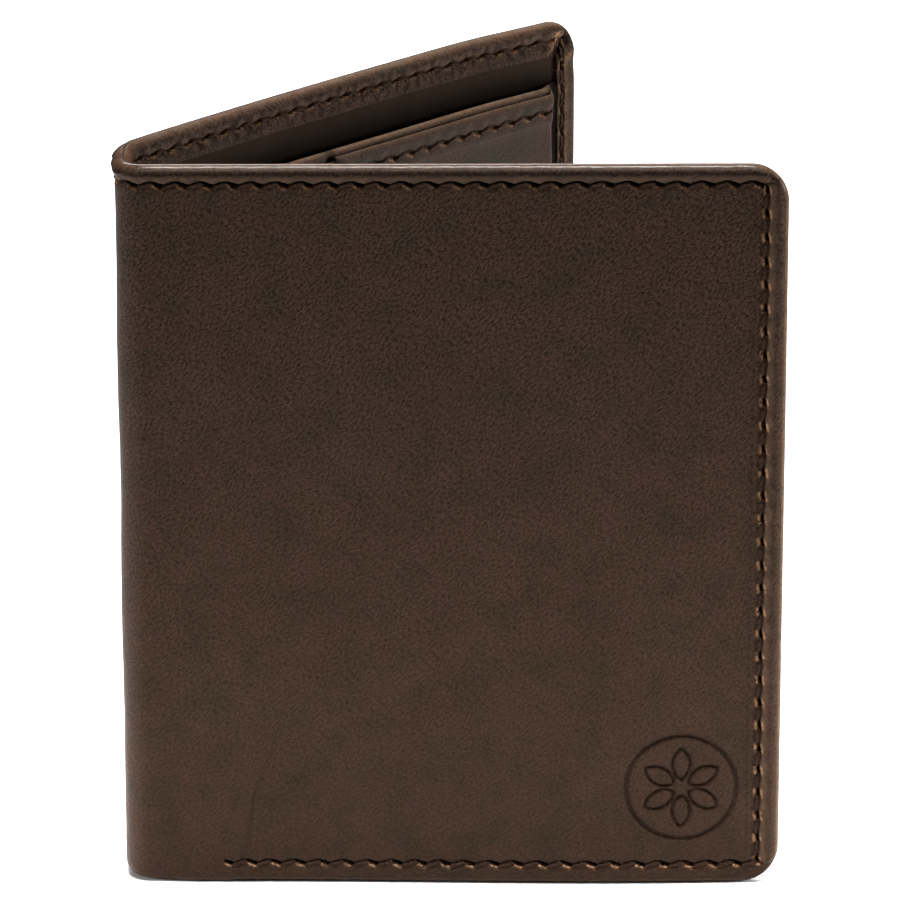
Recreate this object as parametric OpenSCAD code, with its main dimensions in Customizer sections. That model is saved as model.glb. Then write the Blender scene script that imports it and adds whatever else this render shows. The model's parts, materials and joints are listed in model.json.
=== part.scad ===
// Bifold leather wallet, standing on its bottom edges and part open.
// +Z is up, the front half faces -Y, the spine is on the -X side, and the origin is at the
// bottom centre of the whole wallet. Each half is drawn in its own flat frame: x runs from the
// fold crease to the free edge, y from the outer face inwards, and z up from the bottom edge.

/* [Wallet] */
// Width of the closed wallet, from the spine's outer face to the free edge
closed_w = 90; // [84:1:100]
// Height of the wallet, which is also the length of the spine
wallet_h = 104; // [98:1:120]
// Radius of the two free corners of each half
corner_r = 5.5; // [2:0.5:6]
// Distance between the two creases, measured across the spine
spine_w = 9; // [8.5:0.5:14]
// Angle between the front half and the back half
open_angle = 45; // [10:1:85]

/* [Cover] */
// Thickness of the outer leather, which is also the radius of the creases
cover_t = 1.1; // [0.9:0.1:1.3]
// Thickness of the board bonded behind the outer leather
backing_t = 0.2; // [0.1:0.05:0.3]
// Thickness of the lining
lining_t = 0.15; // [0.1:0.05:0.25]
// Thickness of the skived leather where it is turned over an edge
hem_t = 0.55; // [0.4:0.05:0.6]
// Depth of the hem along the top and along the foot of the spine
top_hem_w = 5; // [4.5:0.5:8]
// Width of the hem that wraps the inner panel at the free edge and at the bottom
edge_hem_w = 4.5; // [4:0.5:6]

/* [Inner panel] */
// Distance from the top of the wallet down to the top of the inner panel
panel_drop = 9; // [9:0.5:14]
// Distance from the crease to the spine-side edge of the inner panel
panel_start = 13.4; // [10:0.1:16]
// Distance from the crease to the edge of the rearmost card slot
first_slot = 21.9; // [19:0.1:24]
// Spacing between the edges of neighbouring card slots
slot_step = 8; // [5:0.5:9]
// Thickness of the divider between the note compartment and the card slots
divider_t = 0.45; // [0.35:0.05:0.5]
// Thickness of each card slot's leather
slot_t = 0.4; // [0.3:0.05:0.45]
// Thickness of the cloth behind each card slot
pocket_t = 0.1; // [0.08:0.01:0.12]
// Gap that the note compartment keeps when it is empty
compartment_gap = 0.1; // [0.05:0.05:0.2]

/* [Stitching] */
// Distance from the edge of the cover to the stitch line
stitch_inset = 2.7; // [2.2:0.1:3.2]
// Length from one stitch to the next
stitch_pitch = 3.35; // [2.8:0.05:4]
// Radius of the thread
thread_r = 0.17; // [0.12:0.01:0.18]

/* [Emblem] */
// Outer radius of the pressed rosette
emblem_r = 8; // [5:0.5:9]
// Distance from the free edge to the rosette's centre
emblem_inset = 13.6; // [13:0.1:20]
// Height of the rosette's centre above the bottom edge
emblem_z = 14.4; // [14:0.1:24]
// Depth of the pressed lines
emblem_depth = 0.25; // [0.1:0.05:0.4]

/* [Hidden] */
SLOTS = ["rear", "middle", "front"];
$fn = 64;

LEATHER = [0.21, 0.15, 0.12];
PANEL_LEATHER = [0.27, 0.20, 0.16];
LINING_CLOTH = [0.10, 0.08, 0.07];
BOARD = [0.45, 0.38, 0.30];
THREAD = [0.40, 0.22, 0.12];

// Small working clearances
ply_gap = 0.02;
cut_extra = 1;
hem_corner_gap = 0.6;
wall_t = 0.8;
liner_inset = wall_t + 0.2;

// The crease is a roll of leather as thick as the cover, so its axis lies cover_t inside
fold_r = cover_t;
half_w = closed_w - fold_r;
fold_cut_r = fold_r + 0.05;
fold_lip = 0.4;
inner_fold_gap = 1.2;

// Layers, counted inwards from the outer face
backing_v = cover_t + ply_gap;
lining_v = backing_v + backing_t + ply_gap;
top_hem_v = lining_v + lining_t + ply_gap;
divider_v = lining_v + lining_t + compartment_gap;
first_pocket_v = divider_v + divider_t + ply_gap;
slot_stack_t = pocket_t + slot_t + 2 * ply_gap;
edge_hem_v = first_pocket_v + len(SLOTS) * slot_stack_t;
panel_top = wallet_h - panel_drop;
edge_hem_top = panel_top + hem_corner_gap;

// Stitch grooves and stitches
groove_d = 2 * thread_r + 0.02;
groove_w = 2 * thread_r + 0.3;
stitch_l = stitch_pitch - 0.9;
panel_stitch_drop = 2.6;
stitch_end_gap = 0.8;

// Places of the two creases in plan
depth = fold_r + spine_w + half_w * sin(open_angle) + fold_r * cos(open_angle);
front_y = -depth / 2;
fold_x = fold_r - closed_w / 2;
front_fold_y = front_y + fold_r;
back_fold_y = front_fold_y + spine_w;

function pocket_v(i) = first_pocket_v + i * slot_stack_t;
function slot_v(i) = pocket_v(i) + pocket_t + ply_gap;
function slot_edge(i) = first_slot + i * slot_step;

// ---- placing ----

module on_front_half() {
    translate([fold_x, front_y, 0]) children();
}

module on_back_half() {
    translate([fold_x, back_fold_y, 0])
        rotate([0, 0, open_angle])
        mirror([0, 1, 0])
        translate([0, -fold_r, 0])
        children();
}

module on_spine() {
    translate([fold_x - fold_r, front_fold_y, 0]) mirror([1, -1, 0]) children();
}

// A flat layer t thick whose outer side lies v inside the outer face
module layer(v, t) {
    translate([0, v + t, 0]) rotate([90, 0, 0]) linear_extrude(t) children();
}

// ---- flat outlines ----

// Outline of one half, moved in by inset, with rounded corners at the free edge
module half_outline(start, inset) {
    r = max(corner_r - inset, ply_gap);
    right = half_w - inset;
    tall = wallet_h - 2 * inset;
    translate([start, inset]) square([right - r - start, tall]);
    translate([start, inset + r]) square([right - start, tall - 2 * r]);
    for (z = [inset + r, wallet_h - inset - r]) translate([right - r, z]) circle(r);
}

// The strip of one half's outline that lies within w of its edges
module rim(w) {
    difference() {
        half_outline(0, 0);
        half_outline(-cut_extra, w);
    }
}

module high_edge_zone() {
    translate([panel_start, 0]) square([half_w, edge_hem_w + cut_extra]);
    translate([half_w - edge_hem_w - cut_extra, 0]) square([edge_hem_w + 2 * cut_extra, edge_hem_top]);
}

module low_edge_zone() {
    translate([inner_fold_gap, wallet_h - top_hem_w]) square([half_w, top_hem_w]);
    translate([half_w - edge_hem_w, edge_hem_top]) square([edge_hem_w, wallet_h - edge_hem_top]);
    translate([inner_fold_gap, 0]) square([panel_start - inner_fold_gap - ply_gap, top_hem_w]);
}

module panel_outline(start) {
    intersection() {
        half_outline(start, liner_inset);
        square([half_w, panel_top]);
    }
}

// ---- stitches ----

module stitch(along) {
    turn = along == "x" ? [0, 90, 0] : [0, 0, 0];
    rotate(turn) cylinder(h = stitch_l, r = thread_r, center = true);
}

// A level row of stitches spread evenly between two places
module level_row(from, to, z, v) {
    count = floor((to - from) / stitch_pitch);
    start = (from + to - (count - 1) * stitch_pitch) / 2;
    for (k = [0 : count - 1]) translate([start + k * stitch_pitch, v, z]) stitch("x");
}

module upright_row(from, to, u, v) {
    count = floor((to - from) / stitch_pitch);
    start = (from + to - (count - 1) * stitch_pitch) / 2;
    for (k = [0 : count - 1]) translate([u, v, start + k * stitch_pitch]) stitch("z");
}

module groove_outline() {
    far = half_w - stitch_inset + groove_w / 2;
    for (z = [stitch_inset, wallet_h - stitch_inset]) {
        near = z > wallet_h / 2 ? -cut_extra : panel_start;
        translate([near, z - groove_w / 2]) square([far - near, groove_w]);
    }
    translate([far - groove_w, stitch_inset]) square([groove_w, wallet_h - 2 * stitch_inset]);
}

// ---- pieces of one half, in its flat frame ----

// Outer leather with its edges turned over: thin over the lining, high over the inner panel
module cover_half() {
    difference() {
        union() {
            layer(0, cover_t) half_outline(0, 0);
            layer(cover_t, edge_hem_v + hem_t - cover_t) intersection() {
                rim(wall_t);
                high_edge_zone();
            }
            layer(edge_hem_v, hem_t) intersection() {
                rim(edge_hem_w);
                high_edge_zone();
            }
            layer(cover_t, top_hem_v + hem_t - cover_t) intersection() {
                rim(wall_t);
                low_edge_zone();
            }
            layer(top_hem_v, hem_t) intersection() {
                half_outline(0, 0);
                low_edge_zone();
            }
        }
        translate([0, fold_r, -cut_extra]) cylinder(h = wallet_h + 2 * cut_extra, r = fold_cut_r);
        translate([-cut_extra, -cut_extra, -cut_extra])
            cube([cut_extra + fold_lip, cover_t + cut_extra, wallet_h + 2 * cut_extra]);
        layer(-ply_gap, groove_d + ply_gap) groove_outline();
    }
}

module backing_half() {
    layer(backing_v, backing_t) half_outline(inner_fold_gap, liner_inset);
}

module lining_half() {
    layer(lining_v, lining_t) half_outline(inner_fold_gap, liner_inset);
}

module divider_half() {
    layer(divider_v, divider_t) panel_outline(panel_start);
}

module slot_half(i) {
    layer(slot_v(i), slot_t) panel_outline(slot_edge(i));
}

module pocket_half(i) {
    layer(pocket_v(i), pocket_t) intersection() {
        panel_outline(slot_edge(i) + stitch_end_gap);
        square([half_w, panel_top - stitch_end_gap]);
    }
}

module top_thread_half() {
    z = wallet_h - stitch_inset;
    far = half_w - stitch_inset;
    level_row(inner_fold_gap, far, z, thread_r);
    level_row(inner_fold_gap, far, z, top_hem_v + hem_t + thread_r);
}

module side_thread_half() {
    u = half_w - stitch_inset;
    upright_row(stitch_inset + stitch_end_gap, wallet_h - stitch_inset - stitch_end_gap, u, thread_r);
    upright_row(stitch_inset + stitch_end_gap, edge_hem_top, u, edge_hem_v + hem_t + thread_r);
}

module bottom_thread_half() {
    far = half_w - stitch_inset;
    level_row(panel_start, far, stitch_inset, thread_r);
    level_row(panel_start, far, stitch_inset, edge_hem_v + hem_t + thread_r);
}

// Stitches along the top of the inner panel, one run on each slot's own level
module panel_thread_half() {
    z = panel_top - panel_stitch_drop;
    last = len(SLOTS) - 1;
    level_row(panel_start, first_slot - ply_gap, z, divider_v + divider_t + thread_r);
    for (i = [0 : last]) {
        to = i < last ? slot_edge(i + 1) : half_w - edge_hem_w;
        level_row(slot_edge(i), to - ply_gap, z, slot_v(i) + slot_t + thread_r);
    }
}

// ---- the spine, in its own flat frame between the two creases ----

module spine_strip(v, t, z0, z1) {
    translate([inner_fold_gap, v, z0]) cube([spine_w - 2 * inner_fold_gap, t, z1 - z0]);
}

module spine_cover_flat() {
    difference() {
        union() {
            cube([spine_w, cover_t, wallet_h]);
            for (u = [0, spine_w]) translate([u, fold_r, 0]) cylinder(h = wallet_h, r = fold_r);
            for (z = [0, wallet_h - wall_t])
                spine_strip(cover_t, top_hem_v + hem_t - cover_t, z, z + wall_t);
            for (z = [0, wallet_h - top_hem_w]) spine_strip(top_hem_v, hem_t, z, z + top_hem_w);
        }
        translate([0, -ply_gap, wallet_h - stitch_inset - groove_w / 2])
            cube([spine_w, groove_d + ply_gap, groove_w]);
    }
}

module spine_thread_flat() {
    z = wallet_h - stitch_inset;
    level_row(inner_fold_gap, spine_w - inner_fold_gap, z, thread_r);
    level_row(inner_fold_gap, spine_w - inner_fold_gap, z, top_hem_v + hem_t + thread_r);
}

// ---- pressed rosette on the front face ----

// Pointed petals are the overlap of two circles that cross at the centre and at the tip
module petal(reach) {
    r = reach / sqrt(3);
    intersection_for(side = [-1, 1]) translate([side * r / 2, reach / 2]) circle(r);
}

module rosette_outline() {
    line_w = 0.8;
    petal_l = emblem_r - 2.4 * line_w;
    difference() {
        circle(emblem_r);
        circle(emblem_r - line_w);
    }
    for (a = [0 : 60 : 300]) rotate(a) translate([0, line_w]) petal(petal_l - line_w);
}

// ---- sub-parts ----

module front_cover() {
    color(LEATHER) on_front_half() difference() {
        cover_half();
        layer(-ply_gap, emblem_depth + ply_gap)
            translate([half_w - emblem_inset, emblem_z]) rosette_outline();
    }
}
module front_backing() { color(BOARD) on_front_half() backing_half(); }
module front_lining() { color(LINING_CLOTH) on_front_half() lining_half(); }
module front_divider() { color(PANEL_LEATHER) on_front_half() divider_half(); }
module front_slot(i) { color(PANEL_LEATHER) on_front_half() slot_half(i); }
module front_pocket(i) { color(LINING_CLOTH) on_front_half() pocket_half(i); }
module front_top_thread() { color(THREAD) on_front_half() top_thread_half(); }
module front_side_thread() { color(THREAD) on_front_half() side_thread_half(); }
module front_bottom_thread() { color(THREAD) on_front_half() bottom_thread_half(); }
module front_panel_thread() { color(THREAD) on_front_half() panel_thread_half(); }

module spine_cover() { color(LEATHER) on_spine() spine_cover_flat(); }
module spine_lining() {
    color(LINING_CLOTH) on_spine()
        spine_strip(lining_v, lining_t, liner_inset, wallet_h - liner_inset);
}
module spine_thread() { color(THREAD) on_spine() spine_thread_flat(); }

module back_cover() { color(LEATHER) on_back_half() cover_half(); }
module back_backing() { color(BOARD) on_back_half() backing_half(); }
module back_lining() { color(LINING_CLOTH) on_back_half() lining_half(); }
module back_divider() { color(PANEL_LEATHER) on_back_half() divider_half(); }
module back_slot(i) { color(PANEL_LEATHER) on_back_half() slot_half(i); }
module back_pocket(i) { color(LINING_CLOTH) on_back_half() pocket_half(i); }
module back_top_thread() { color(THREAD) on_back_half() top_thread_half(); }
module back_side_thread() { color(THREAD) on_back_half() side_thread_half(); }
module back_bottom_thread() { color(THREAD) on_back_half() bottom_thread_half(); }
module back_panel_thread() { color(THREAD) on_back_half() panel_thread_half(); }

front_cover();
front_backing();
front_lining();
front_divider();
front_slot(0);  // front_slot_rear
front_slot(1);  // front_slot_middle
front_slot(2);  // front_slot_front
front_pocket(0);  // front_pocket_rear
front_pocket(1);  // front_pocket_middle
front_pocket(2);  // front_pocket_front
front_top_thread();
front_side_thread();
front_bottom_thread();
front_panel_thread();
spine_cover();
spine_lining();
spine_thread();
back_cover();
back_backing();
back_lining();
back_divider();
back_slot(0);  // back_slot_rear
back_slot(1);  // back_slot_middle
back_slot(2);  // back_slot_front
back_pocket(0);  // back_pocket_rear
back_pocket(1);  // back_pocket_middle
back_pocket(2);  // back_pocket_front
back_top_thread();
back_side_thread();
back_bottom_thread();
back_panel_thread();
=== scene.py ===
"""Looks of the bifold wallet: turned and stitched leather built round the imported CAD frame.

Every shape is worked out in the wallet's own flat frame and then wrapped onto its folded path:
s runs along the outer face from the front half's free edge, round the spine, to the back half's
free edge; v is the depth inwards from that face; z is the height. All three are in millimetres.
"""

import json
import math

import bmesh
import bpy
import numpy as np
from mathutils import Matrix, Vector


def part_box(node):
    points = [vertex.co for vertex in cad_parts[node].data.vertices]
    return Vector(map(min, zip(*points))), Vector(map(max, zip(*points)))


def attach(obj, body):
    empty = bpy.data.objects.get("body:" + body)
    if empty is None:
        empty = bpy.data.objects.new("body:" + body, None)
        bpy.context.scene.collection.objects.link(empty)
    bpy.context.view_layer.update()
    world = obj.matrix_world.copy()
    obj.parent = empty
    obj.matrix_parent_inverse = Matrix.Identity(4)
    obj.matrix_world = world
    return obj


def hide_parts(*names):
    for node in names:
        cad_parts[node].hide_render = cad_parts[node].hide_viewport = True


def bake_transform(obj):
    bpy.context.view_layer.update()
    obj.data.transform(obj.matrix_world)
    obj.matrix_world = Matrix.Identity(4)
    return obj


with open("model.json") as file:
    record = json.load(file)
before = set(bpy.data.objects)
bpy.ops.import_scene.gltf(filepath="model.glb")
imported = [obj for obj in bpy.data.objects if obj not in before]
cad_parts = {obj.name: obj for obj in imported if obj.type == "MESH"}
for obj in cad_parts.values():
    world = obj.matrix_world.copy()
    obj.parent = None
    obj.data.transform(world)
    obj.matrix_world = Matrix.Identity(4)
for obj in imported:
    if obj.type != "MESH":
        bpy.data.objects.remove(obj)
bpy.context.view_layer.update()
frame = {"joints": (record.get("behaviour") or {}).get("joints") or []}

MM = 0.001
JOINTS = {joint["name"]: joint for joint in frame["joints"]}

# ---- sizes from the frame

FRONT_CREASE = np.array(JOINTS["front_crease"]["pos_m"]) / MM
BACK_CREASE = np.array(JOINTS["back_crease"]["pos_m"]) / MM
X_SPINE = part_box("spine_cover")[0].x / MM
X_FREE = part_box("front_cover")[1].x / MM
Y_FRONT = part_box("front_cover")[0].y / MM
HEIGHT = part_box("front_cover")[1].z / MM
PANEL_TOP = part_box("back_divider")[1].z / MM
PANEL_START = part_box("front_divider")[0].x / MM - FRONT_CREASE[0]
SLOT_STARTS = [
    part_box("front_slot_" + row)[0].x / MM - FRONT_CREASE[0]
    for row in ("rear", "middle", "front")
]
FOLD_R = FRONT_CREASE[0] - X_SPINE
HALF_W = X_FREE - FRONT_CREASE[0]
OPEN = math.radians(45)
SIDE = {True: "front", False: "back"}

# ---- sizes of the leatherwork, in millimetres

SPINE_BEND_R = 3.7  # the outer face's bend from the front to the spine
BACK_BEND_R = 7.5  # its bend from the spine to the back
CORNER_R = 5.35  # corners of the outline
SQUARE_AT = 2.5  # how far inside the outline its corners turn square
SPINE_FOOT_R = 2.6  # height of the rounding at the foot of the spine
ROLL = 1.05  # width of the rolled rim
BASE_T = 1.30  # thickness of the leather alone
HEM_T = 2.0  # thickness with the turned hem
SIDE_HEM_T = 2.2  # side hem over the inner panel
BOTTOM_HEM_T = 2.9  # bottom hem over the most layers
HEM_STEP = 0.10  # half-width of a hem's sloping edge
TOP_HEM_W = 5.0  # width of the top hem, and of the bottom hem at the spine
EDGE_HEM_W = 4.1  # width of the hems over the inner panel
STITCH_INSET = 2.85  # side row, from the free edge
TOP_INSET = 2.45  # top row, from the top
FOOT_INSET = 3.20  # bottom row, from the foot
PITCH = 3.35  # one stitch with the gap after it
PLY_R = 0.19  # radius of each of the thread's two plies
STITCH_HALF = 0.37  # half of a visible stitch, as a part of the pitch
HOLE_HALF = 0.19  # half of a needle slit, as a part of the pitch
ROW_MARGIN = 0.9  # least distance from a row's end to its last stitch's middle
PANEL_STITCH_DROP = 2.35  # panel row, from the panel's top
PANEL_FOLD_W = 4.2  # width of the fold at a panel's top
NEAR_FOLD_W = 5.0  # full width of the fold at a panel's near edge
NEAR_FOLD_END = 5.4  # where its slope ends
FRONT_OVER = 0.30  # front's free edge, beyond the CAD model's
BACK_UNDER = 1.9  # back's free edge, short of the CAD model's
BACK_STEP = 0.55  # back crease, behind the CAD model's
BACK_SAG = 0.45  # droop of the back's top corner
EMBLEM_INSET = 13.6  # middle of the emblem, from the free edge
EMBLEM_Z = 14.4  # middle of the emblem, from the foot
EMBLEM_R = 8.0  # outside of the emblem's ring

# ---- the folded path

BACK_TURN = math.pi / 2 - OPEN
CORNER_Y = BACK_CREASE[1] + FOLD_R * math.tan(BACK_TURN / 2) + BACK_STEP
BACK_TANGENT = BACK_BEND_R * math.tan(BACK_TURN / 2)
X_EDGE = X_FREE + FRONT_OVER
FRONT_LEN = X_EDGE - X_SPINE - SPINE_BEND_R
SPINE_ARC = SPINE_BEND_R * math.pi / 2
SPINE_LEN = CORNER_Y - Y_FRONT - SPINE_BEND_R - BACK_TANGENT
BACK_ARC = BACK_BEND_R * BACK_TURN
BACK_LEN = HALF_W + FOLD_R * math.tan(BACK_TURN / 2) - BACK_UNDER - BACK_TANGENT
SEAM = FRONT_LEN + SPINE_ARC + SPINE_LEN / 2
TOTAL = FRONT_LEN + SPINE_ARC + SPINE_LEN + BACK_ARC + BACK_LEN


def mirror(s, front):
    """Turns s into a distance from the half's own free edge, and such a distance into s."""
    return s if front else TOTAL - s


def smooth(x, low, high):
    """0 below low, 1 above high, and a smooth step between."""
    t = np.clip((x - low) / (high - low), 0, 1)
    return t * t * (3 - 2 * t)


def bell(x, middle, width):
    """1 in the middle, falling away smoothly to both sides."""
    return np.exp(-(((x - middle) / width) ** 2))


def path(s):
    """Plan position of the outer face at s, and the direction inwards from it."""
    s = np.asarray(s, float)
    pieces = (
        (FRONT_LEN, 0),
        (SPINE_ARC, SPINE_BEND_R),
        (SPINE_LEN, 0),
        (BACK_ARC, BACK_BEND_R),
        (BACK_LEN, 0),
    )
    x = np.full(s.shape, X_EDGE)
    y = np.full(s.shape, Y_FRONT)
    heading = np.full(s.shape, math.pi)
    left = s.copy()
    for k, (length, radius) in enumerate(pieces):
        run = left if k == 0 else np.maximum(left, 0)
        if k < len(pieces) - 1:
            run = np.minimum(run, length)
        if radius:
            turn = run / radius
            x = x + radius * (np.sin(heading) - np.sin(heading - turn))
            y = y + radius * (np.cos(heading - turn) - np.cos(heading))
            heading = heading - turn
        else:
            x = x + run * np.cos(heading)
            y = y + run * np.sin(heading)
        left = left - length
    return x, y, np.sin(heading), -np.cos(heading)


def bow(s, z):
    """How far each half stands out from its flat plane; the front stands out most low down."""
    low = 1 - 0.95 * np.clip(z / HEIGHT, 0, 1)
    out = np.clip(1 - s / FRONT_LEN, 0, 1)
    front = (0.5 * smooth(out, 0.15, 0.75) + 0.6 * np.sin(np.pi * out ** 2.2)) * low
    reach = np.clip((s - TOTAL + BACK_LEN) / BACK_LEN, 0, 1)
    back = 0.75 * np.sin(np.pi * reach ** 0.8) - 0.35 * smooth(reach, 0.75, 1.0)
    return front + back


def wrap(s, v, z):
    """Points in metres for flat places (s, v, z) in millimetres."""
    x, y, nx, ny = path(s)
    depth = v - bow(s, z)
    sag = BACK_SAG * smooth(s, TOTAL - 24, TOTAL - 3) * smooth(z, HEIGHT - 30, HEIGHT)
    return np.stack([x + nx * depth, y + ny * depth, z - sag], axis=-1) * MM


def height_in(z):
    """Distance from the top or the foot, whichever is nearer."""
    return np.minimum(z, HEIGHT - z)


def round_corner(edge, z):
    """Rounds a half's corners at its outline; the corners of inner shells turn square again."""
    height = height_in(z)
    shell = np.minimum(edge, height)
    radius = CORNER_R * np.clip(1 - shell / SQUARE_AT, 0, 1)
    beyond = (np.maximum(edge, height) - shell) / np.maximum(radius, 1e-6)
    turn = np.clip(1 - beyond, 0, 1) * math.pi / 4
    along = shell + radius * (1 - np.sin(turn))
    across = shell + radius * (1 - np.cos(turn))
    inside = turn > 0
    new_edge = np.where(inside, np.where(edge > height, along, across), edge)
    new_height = np.where(inside, np.where(edge > height, across, along), height)
    return new_edge, np.where(z > HEIGHT / 2, HEIGHT - new_height, new_height)


def ripple(s, z, wavelength, seed, waves=18):
    """A smooth random field of about unit size, from waves in seeded random directions."""
    rng = np.random.default_rng(seed)
    angle = rng.uniform(0, 2 * np.pi, waves)
    phase = rng.uniform(0, 2 * np.pi, waves)
    rate = 2 * np.pi / (wavelength * rng.uniform(0.7, 1.5, waves))
    field = np.zeros(np.shape(s))
    for k in range(waves):
        field += np.sin(rate[k] * (s * np.cos(angle[k]) + z * np.sin(angle[k])) + phase[k])
    return field / math.sqrt(waves / 2)


# ---- stitches

def swing(along):
    """The wave that repeats with every stitch, a little ahead of the stitch's middle."""
    return np.cos(2 * np.pi * (along + 0.31))


def scallop(along):
    """The wavy line that a row's upper side follows, in mm across the row."""
    return -0.05 + 0.22 * swing(along)


def hole_window(along):
    """1 along the needle slits, halfway between stitches, and 0 elsewhere."""
    tau = np.abs(along % 1.0 - 0.5)
    return 1 - smooth(tau, HOLE_HALF - 0.06, HOLE_HALF + 0.05)


def stitch_dent(along, across):
    """Depth that one row of stitches presses into leather. along is in stitches, across in mm."""
    x = across - scallop(along)
    groove = np.where(x > 0, bell(x, 0, 0.70), bell(x, 0, 0.12))
    slit = hole_window(along) * bell(x, 0.13, 0.24)
    return 0.25 * groove + 0.85 * slit


def seam_puff(along, across):
    """How far leather stands up beside a row of stitches; across is positive away from the edge."""
    x = across - 0.6 * scallop(along)
    swell = 0.85 + 0.15 * swing(along)
    outer = smooth(x, -2.5, -1.3) * np.clip((-0.05 - x) / 1.25, 0, 1)
    inner = bell(x, 1.15, 0.45)
    return 0.58 * swell * outer + 0.05 * inner


def raw_fibres(along, across, both=False):
    """Where torn fibres show beside a needle slit, on one side of it or on both."""
    x = across - scallop(along)
    torn = bell(x, 0.54, 0.18)
    if both:
        torn = np.maximum(torn, bell(x, -0.27, 0.15))
    return hole_window(along + 0.03) * torn


def top_phase(s):
    """Place along the top row, in stitches; whole numbers are the middles of stitches."""
    return (SEAM - s) / PITCH - 0.5


def foot_phase(s):
    """Place along the bottom row, in stitches, half a stitch from those of the top row."""
    return (SEAM - s) / PITCH


def straighten(along):
    """Added to the distance across a side row, whose stitches lie nearly in line."""
    return 0.6 * scallop(along) + 0.03


def row_fields(s, z, edge):
    """(place along in stitches, distance across, weight, puff, torn on both sides) for each row."""
    inside = smooth(edge, 2.0, STITCH_INSET)
    from_crease = HALF_W - edge
    foot = smooth(from_crease, PANEL_START - 1.1, PANEL_START - 0.8) * inside
    ends = smooth(height_in(z), STITCH_INSET - 0.4, STITCH_INSET + 0.4)
    upright = (z - HEIGHT / 2) / PITCH
    return [
        (top_phase(s), HEIGHT - z - TOP_INSET, inside, 1.0, False),
        (foot_phase(s), FOOT_INSET - z, foot, 0.15, False),
        (upright, edge - STITCH_INSET + straighten(upright), ends, 0.6, True),
    ]


# ---- pressed emblem

def soft_inside(distance, soft=0.12):
    """1 inside a shape and 0 outside, from a signed distance that is negative inside."""
    return 1 - smooth(distance, -soft, soft)


def emblem_mask(edge, z):
    """A ring round a plain rosette of pointed petals, pressed into the front."""
    x, y = EMBLEM_INSET - edge, z - EMBLEM_Z
    radius = np.hypot(x, y)
    ring = soft_inside(np.abs(radius - EMBLEM_R + 0.4) - 0.27)
    sixth = math.pi / 3
    angle = (np.arctan2(x, y) + sixth / 2) % sixth - sixth / 2
    px, py = radius * np.sin(angle), radius * np.cos(angle) - 0.8
    length = EMBLEM_R - 2.7
    circle = length / math.sqrt(3)
    sides = [np.hypot(px + k * circle / 2, py - length / 2) - circle for k in (-1, 1)]
    outline = soft_inside(np.abs(np.maximum(*sides) + 0.3) - 0.2)
    return np.maximum(ring, outline)


# ---- creases of use

# Faint creases where the front leather flexes near the foot of the spine: (s, z) ends, depth, width
SPINE_CREASES = [
    ((FRONT_LEN - 11.6, 1.0), (FRONT_LEN - 16.8, 22.0), 0.15, 0.26),
    ((FRONT_LEN - 9.2, 2.0), (FRONT_LEN - 13.0, 19.0), 0.06, 0.35),
    ((FRONT_LEN - 14.5, 3.0), (FRONT_LEN - 17.2, 13.0), 0.08, 0.25),
    ((FRONT_LEN - 3.0, 3.0), (FRONT_LEN - 5.0, 17.0), 0.05, 0.60),
]


def crease_depth(s, z):
    """Depth of the creases of use at a place on the front."""
    depth = np.zeros(np.shape(s))
    for (s0, z0), (s1, z1), amount, width in SPINE_CREASES:
        ds, dz = s1 - s0, z1 - z0
        length = math.hypot(ds, dz)
        t = ((s - s0) * ds + (z - z0) * dz) / length ** 2
        wander = 0.35 * np.sin(9 * t + s0)
        across = ((s - s0) * dz - (z - z0) * ds) / length + wander
        fade = np.clip(t * (1 - t) * 4, 0, 1) ** 0.6
        depth += amount * fade * bell(across, 0, width)
    return depth


# ---- the outer leather

def hem_thickness(s, z, edge):
    """Thickness of the leather with its hem at a place, measured from the outer face."""

    def beyond(x, line):
        return smooth(x, line - HEM_STEP, line + HEM_STEP)

    with_panel = beyond(HALF_W - edge, PANEL_START)
    below_top = 1 - smooth(z, PANEL_TOP - 1.0, PANEL_TOP + 2.5)
    top = beyond(z, HEIGHT - TOP_HEM_W)
    side = 1 - beyond(edge, EDGE_HEM_W)
    foot_w = np.where(with_panel > 0.5, EDGE_HEM_W, TOP_HEM_W)
    foot = 1 - beyond(z, foot_w)
    foot_t = SIDE_HEM_T + (BOTTOM_HEM_T - SIDE_HEM_T) * smooth(edge, EDGE_HEM_W, 14)
    over_panel = HEM_T + (np.where(z < TOP_HEM_W, foot_t, SIDE_HEM_T) - HEM_T) * below_top
    thick = BASE_T + (HEM_T - BASE_T) * np.maximum(top, foot * (1 - with_panel))
    return thick + (over_panel - thick) * np.maximum(side, foot * with_panel)


def border_distance(edge, z):
    """Distance from the nearest border of a half."""
    return np.minimum(edge, height_in(z))


def row_marks(s, z, edge):
    """What the rows of stitches do to the leather: dent, lift, shade, torn fibres and a painted
    sheen strip.
    """
    dent, lift, shade, raw, sheen_band = (np.zeros(np.shape(s)) for _ in range(5))
    for along, across, weight, puff, both in row_fields(s, z, edge):
        below = across - scallop(along)
        pressed = stitch_dent(along, across) * weight
        dent = np.maximum(dent, pressed)
        # Painted shade in each stitch groove and needle slit
        shade = np.maximum(shade, np.clip(pressed / 0.7, 0, 1))
        if both:
            # A painted shade line beside the thread of a side row
            beside = bell(below, 0.88, 0.2)
            shade = np.maximum(shade, 0.5 * beside * weight * (1 - hole_window(along)))
        raw = np.maximum(raw, raw_fibres(along, across, both) * weight)
        lift = np.maximum(lift, seam_puff(along, across) * weight * puff)
        # Painted sheen: a paler strip on the raised leather between the top and side rows and the
        # edge
        painted_sheen = smooth(across, -1.35, -0.6) * (1 - smooth(below, -0.25, -0.05))
        sheen_band = np.maximum(sheen_band, painted_sheen * weight * (puff > 0.3))
    return dent, lift, shade, raw, sheen_band


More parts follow.
